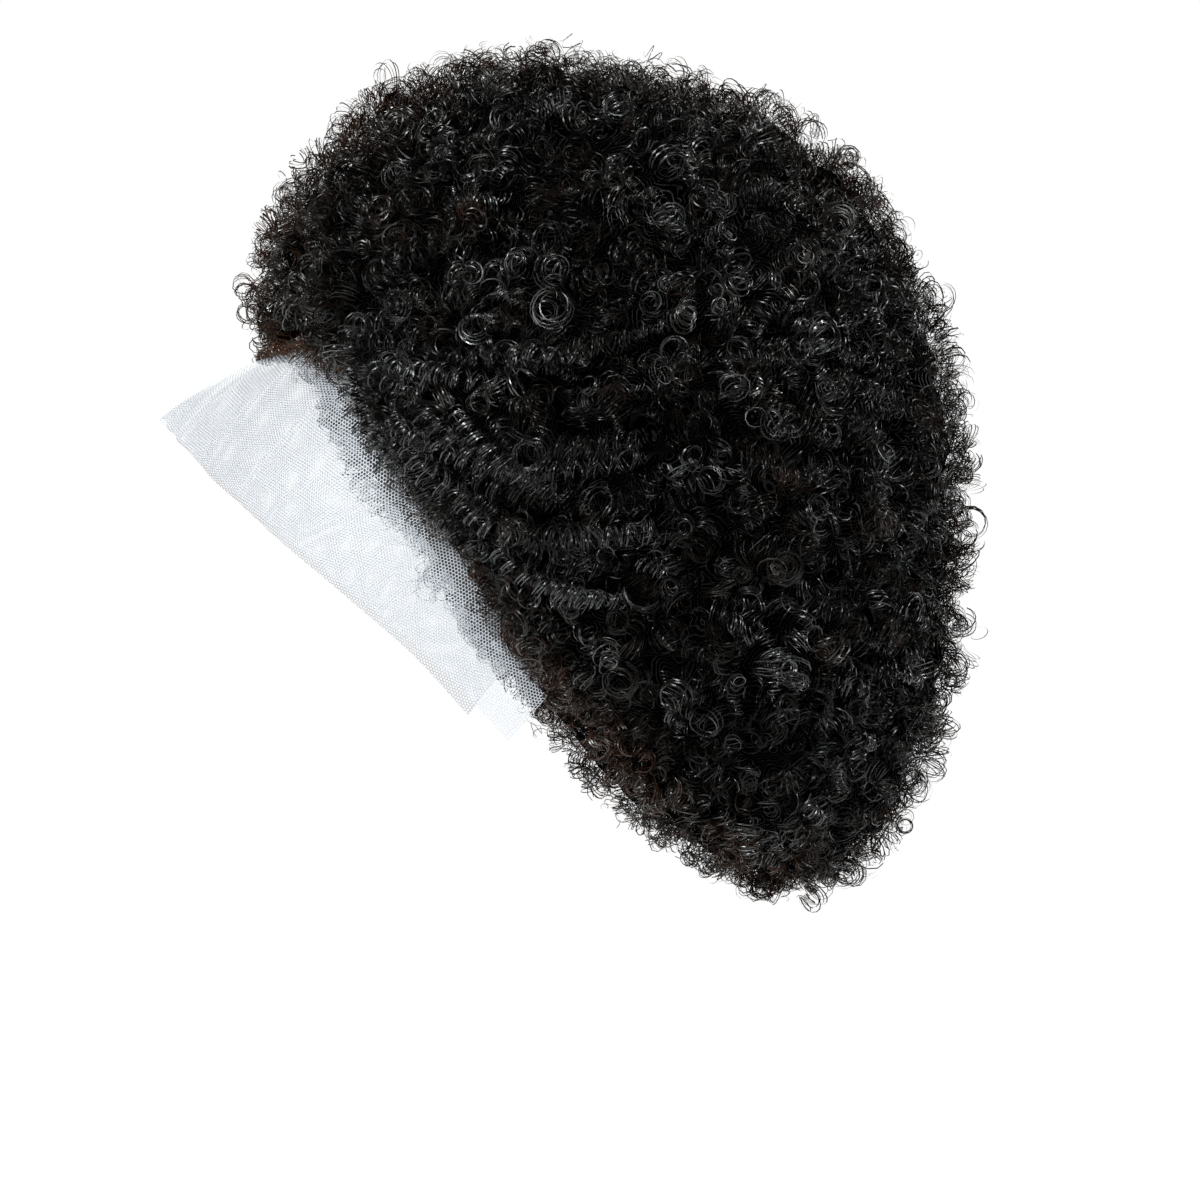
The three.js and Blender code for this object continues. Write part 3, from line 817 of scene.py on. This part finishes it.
# The lace: one sheer net from ear to ear and from the rim to its straight cut edge. For each turn of the rim
# in root, the edge lies at a turn, a reach and a depth.
laceSizes = {
    "root": [0, 24, 43, 57, 77, 89], "edge": [0, 9, 24, 41, 60, 74],
    "reach": 146, "edgeReach": [1, 0.91, 0.84, 0.72, 0.57, 0.5],
    "drop": 174, "edgeDrop": [0.31, 0.405, 0.51, 0.675, 0.86, 1], "softness": 14,
    "bow": 3, "ripple": 0.35, "ripples": 31, "crease": 1, "creases": 75, "creaseZone": 0.13,
    "columns": 240, "rows": 28,
}


# Rounds off the corners of a line of points, and keeps its ends where they are
def softened(points, width):
    kernel = np.hanning(2 * width + 3)[1:-1]
    before = 2 * points[:1] - points[width:0:-1]
    after = 2 * points[-1:] - points[-2:-width - 2:-1]
    padded = np.concatenate([before, points, after])
    return np.stack([np.convolve(line, kernel / kernel.sum(), "valid") for line in padded.T], -1)


# The lace's edge at the rim and its cut edge, from the right ear to the left
def laceEdges():
    lace = laceSizes
    root = np.linspace(0, lace["root"][-1], lace["columns"] // 2 + 1)
    rim = pointAt(root, headReach(root, rimDrop(root), wigForm["capWall"] / 2), -rimDrop(root))
    turn = np.interp(root, lace["root"], lace["edge"])
    reach = lace["reach"] * np.interp(root, lace["root"], lace["edgeReach"])
    drop = lace["drop"] * np.interp(root, lace["root"], lace["edgeDrop"])
    cut = softened(pointAt(turn, reach, -drop), lace["softness"])
    mirror = np.array([-1, 1, 1])
    return [np.concatenate([half[:0:-1] * mirror, half]) for half in (rim, cut)]


# Nylon tulle, knitted into six-sided holes: a sheer, pale, matt net that shows over what is dark and nearly
# goes over what is light. The real holes are about 1 mm wide and are drawn 1.25 mm wide, so that they show.
# Three waves at 60 degrees to each other draw them, and cover is how much thread and hole hide.
laceFinish = {
    "hole": 1.25, "rowShare": 0.866, "threadEdges": (-0.8, -0.2), "cover": (0.8, 0.02),
    "dark": "#a3a5ad", "light": "#b3b5bd", "patch": 16.7, "roughness": 0.6, "ior": 1.53,
}


def sheerLaceMaterial():
    finish = laceFinish
    material, tree = newMaterial("knittedNylonTulle")
    lay = addNode(tree, "ShaderNodeUVMap", uv_map="laceFlat")
    perMetre = 2 * math.pi / (finish["hole"] * finish["rowShare"] * mm)
    waves = []
    for degrees in (0, 60, 120):
        way = (math.cos(math.radians(degrees)), math.sin(math.radians(degrees)), 0)
        along = addNode(tree, "ShaderNodeVectorMath", {1: way}, {0: lay.outputs[0]}, operation="DOT_PRODUCT")
        turned = addNode(tree, "ShaderNodeMath", {1: perMetre}, {0: along.outputs["Value"]},
                         operation="MULTIPLY")
        waves.append(addNode(tree, "ShaderNodeMath", {}, {0: turned.outputs[0]}, operation="COSINE"))
    mask = waves[0]
    for wave in waves[1:]:
        mask = addNode(tree, "ShaderNodeMath", {}, {0: mask.outputs[0], 1: wave.outputs[0]}, operation="ADD")
    ends = dict(zip(("From Min", "From Max", "To Min", "To Max"), finish["threadEdges"] + finish["cover"]))
    thread = addNode(tree, "ShaderNodeMapRange", ends, {"Value": mask.outputs[0]})
    place = addNode(tree, "ShaderNodeTexCoord")
    patch = addNode(tree, "ShaderNodeTexNoise", {"Scale": 1 / (finish["patch"] * mm), "Detail": 2},
                    {"Vector": place.outputs["Object"]})
    colour = addNode(tree, "ShaderNodeMix",
                     {6: linearColour(finish["dark"]), 7: linearColour(finish["light"])},
                     {0: patch.outputs["Fac"]}, data_type="RGBA")
    shader = addNode(tree, "ShaderNodeBsdfPrincipled",
                     {"Roughness": finish["roughness"], "IOR": finish["ior"]},
                     {"Base Color": colour.outputs[2], "Alpha": thread.outputs[0]})
    addNode(tree, "ShaderNodeOutputMaterial", {}, {"Surface": shader.outputs[0]})
    return material


# The sheet hangs in a slight bow, with ripples towards its cut edge and creases at the middle of the front
def laceFront():
    print("lace front")
    lace = laceSizes
    rim, cut = laceEdges()
    out = np.linspace(0, 1, lace["rows"] + 1)[:, None, None]
    across = np.linspace(-1, 1, len(rim))[None, :]
    root = across * lace["root"][-1]
    away = pointAt(root, 1 + 0 * root, 0 * root)
    ripple = lace["ripple"] * np.sin(across * lace["ripples"]) * out[..., 0] ** 2
    crease = lace["crease"] * np.sin(across * lace["creases"]) * np.exp(-(across / lace["creaseZone"]) ** 2)
    ripple = ripple + crease * out[..., 0]
    grid = lerp(rim[None], cut[None], out)
    grid = grid + away * (lace["bow"] * 4 * out * (1 - out) + ripple[..., None])
    faces = gridFaces(*grid.shape[:2], False)
    piece = newObject("lace_sheet", grid.reshape(-1, 3), faces, sheerLaceMaterial())
    width = np.linalg.norm(np.diff(grid.mean(0), axis=0), axis=-1)
    flatAcross = np.concatenate([[0], np.cumsum(width)])[None, :] + 0 * grid[..., 0]
    flatOut = np.linalg.norm(cut - rim, axis=-1)[None, :] * out[..., 0]
    addMap(piece, "laceFlat", np.stack([flatAcross, flatOut], -1) * mm, faces)
    return piece, sum(face.area for face in piece.data.polygons)


# Black stretch net, knitted from nylon and elastane: a dull, dark mesh with soft bands across it. Its holes
# are drawn wider than the real ones, so that they show. Sizes in millimetres.
capFinish = {
    "hole": 1.43, "band": 17.45, "bandWander": 0.6, "height": 0.6, "relief": 0.6,
    "dark": "#0a0908", "light": "#241f1c", "roughness": 0.85,
}


def capNetMaterial():
    finish = capFinish
    material, tree = newMaterial("blackStretchNet")
    place = addNode(tree, "ShaderNodeTexCoord")
    bandScale = 2 * math.pi / (20 * finish["band"] * mm)        # at scale 1 a band is 2 pi / 20 metres wide
    bands = addNode(tree, "ShaderNodeTexWave",
                    {"Scale": bandScale, "Distortion": finish["bandWander"], "Detail": 1},
                    {"Vector": place.outputs["Object"]}, bands_direction="Z")
    net = addNode(tree, "ShaderNodeTexVoronoi", {"Scale": 1 / (finish["hole"] * mm)},
                  {"Vector": place.outputs["Object"]})
    colour = addNode(tree, "ShaderNodeMix",
                     {6: linearColour(finish["dark"]), 7: linearColour(finish["light"])},
                     {0: net.outputs["Distance"]}, data_type="RGBA")
    height = addNode(tree, "ShaderNodeMath", {}, {0: bands.outputs["Fac"], 1: net.outputs["Distance"]},
                     operation="ADD")
    bump = addNode(tree, "ShaderNodeBump", {"Strength": finish["relief"], "Distance": finish["height"] * mm},
                   {"Height": height.outputs[0]})
    shader = addNode(tree, "ShaderNodeBsdfPrincipled", {"Roughness": finish["roughness"]},
                     {"Base Color": colour.outputs[2], "Normal": bump.outputs[0]})
    addNode(tree, "ShaderNodeOutputMaterial", {}, {"Surface": shader.outputs[0]})
    return material


# A white backdrop that the camera sees and little light comes from, a round floor in pale matt paint, and
# four softboxes turned to aim: the place and size of each in metres, and its power in watts
studioSizes = {
    "floorDrop": -0.46, "floorRadius": 1.2, "floorColour": "#f4f4f4", "floorRoughness": 0.9,
    "backdropColour": "#ffffff", "backdrop": 1.0, "backdropLight": 0.022,
    "lightColour": "#f9fffd", "aim": (0, 0.03, -0.07),
    "softboxes": {
        "keySoftbox": ((1.6, -0.9, 0.6), 0.5, 60),
        "topSoftbox": ((0.5, 0.1, 1.7), 0.8, 22),
        "backSoftbox": ((-0.3, 1.8, 0.8), 0.8, 34),
        "farSoftbox": ((-1.7, -0.5, 0.6), 0.8, 32),
    },
}


def studio():
    print("studio")
    size = studioSizes
    bpy.ops.object.select_all(action="DESELECT")
    bpy.ops.mesh.primitive_circle_add(vertices=128, radius=size["floorRadius"], fill_type="NGON",
                                      location=(0, 0, size["floorDrop"]))
    floor = bpy.context.object
    floor.name = "floor"
    material, tree = newMaterial("palePaintedFloor")
    shader = addNode(tree, "ShaderNodeBsdfPrincipled",
                     {"Base Color": linearColour(size["floorColour"]), "Roughness": size["floorRoughness"]})
    addNode(tree, "ShaderNodeOutputMaterial", {}, {"Surface": shader.outputs[0]})
    floor.data.materials.append(material)
    world = bpy.data.worlds.new("paleStudio")
    world.use_nodes = True
    tree = world.node_tree
    tree.nodes.clear()
    ray = addNode(tree, "ShaderNodeLightPath")
    strength = addNode(tree, "ShaderNodeMapRange",
                       {"To Min": size["backdropLight"], "To Max": size["backdrop"]},
                       {"Value": ray.outputs["Is Camera Ray"]})
    air = addNode(tree, "ShaderNodeBackground", {"Color": linearColour(size["backdropColour"])},
                  {"Strength": strength.outputs[0]})
    addNode(tree, "ShaderNodeOutputWorld", {}, {"Surface": air.outputs[0]})
    bpy.context.scene.world = world
    for name, (place, width, power) in size["softboxes"].items():
        light = bpy.data.lights.new(name, "AREA")
        light.size = width
        light.energy = power
        light.color = linearColour(size["lightColour"])[:3]
        lamp = bpy.data.objects.new(name, light)
        lamp.location = place
        lamp.rotation_euler = (Vector(size["aim"]) - Vector(place)).to_track_quat("-Z", "Y").to_euler()
        bpy.context.collection.objects.link(lamp)


# The camera at the wearer's left, a little in front. Its frame is as wide as 1200 photo pixels of 0.39 mm.
view = {
    "azimuth": 82, "elevation": 2, "distance": 1.4, "frameWidth": 1200 * 0.39 * mm,
    "right": 24.2 * mm, "down": 124.4 * mm, "sensor": 36,
}


def placeCamera():
    azimuth, elevation = math.radians(view["azimuth"]), math.radians(view["elevation"])
    right = Vector((math.cos(azimuth), math.sin(azimuth), 0))
    back = Vector((math.sin(azimuth) * math.cos(elevation), -math.cos(azimuth) * math.cos(elevation),
                   math.sin(elevation)))
    target = right * view["right"] + Vector((0, 0, -view["down"]))
    lens = bpy.data.cameras.new("camera")
    lens.sensor_width = view["sensor"]
    lens.lens = view["sensor"] * view["distance"] / view["frameWidth"]
    camera = bpy.data.objects.new("camera", lens)
    camera.location = target + back * view["distance"]
    camera.rotation_euler = (-back).to_track_quat("-Z", "Y").to_euler()
    bpy.context.collection.objects.link(camera)
    bpy.context.scene.camera = camera


bpy.context.scene.view_settings.view_transform = "Standard"
placeCamera()
studio()
random = np.random.default_rng(7)
tufts = hairTufts(random)
core = hairCore(tufts)
curls = curlPieces(random, tufts)
lace, laceArea = laceFront()
for piece in [core, *curls]:
    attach(piece, "root")
    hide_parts("hair")
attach(lace, "root")
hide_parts("lace_front")
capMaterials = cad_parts["wig_cap"].data.materials
capMaterials.clear()
capMaterials.append(capNetMaterial())
print("triangles", sum(len(p.vertices) - 2 for piece in [core, *curls, lace] for p in piece.data.polygons))
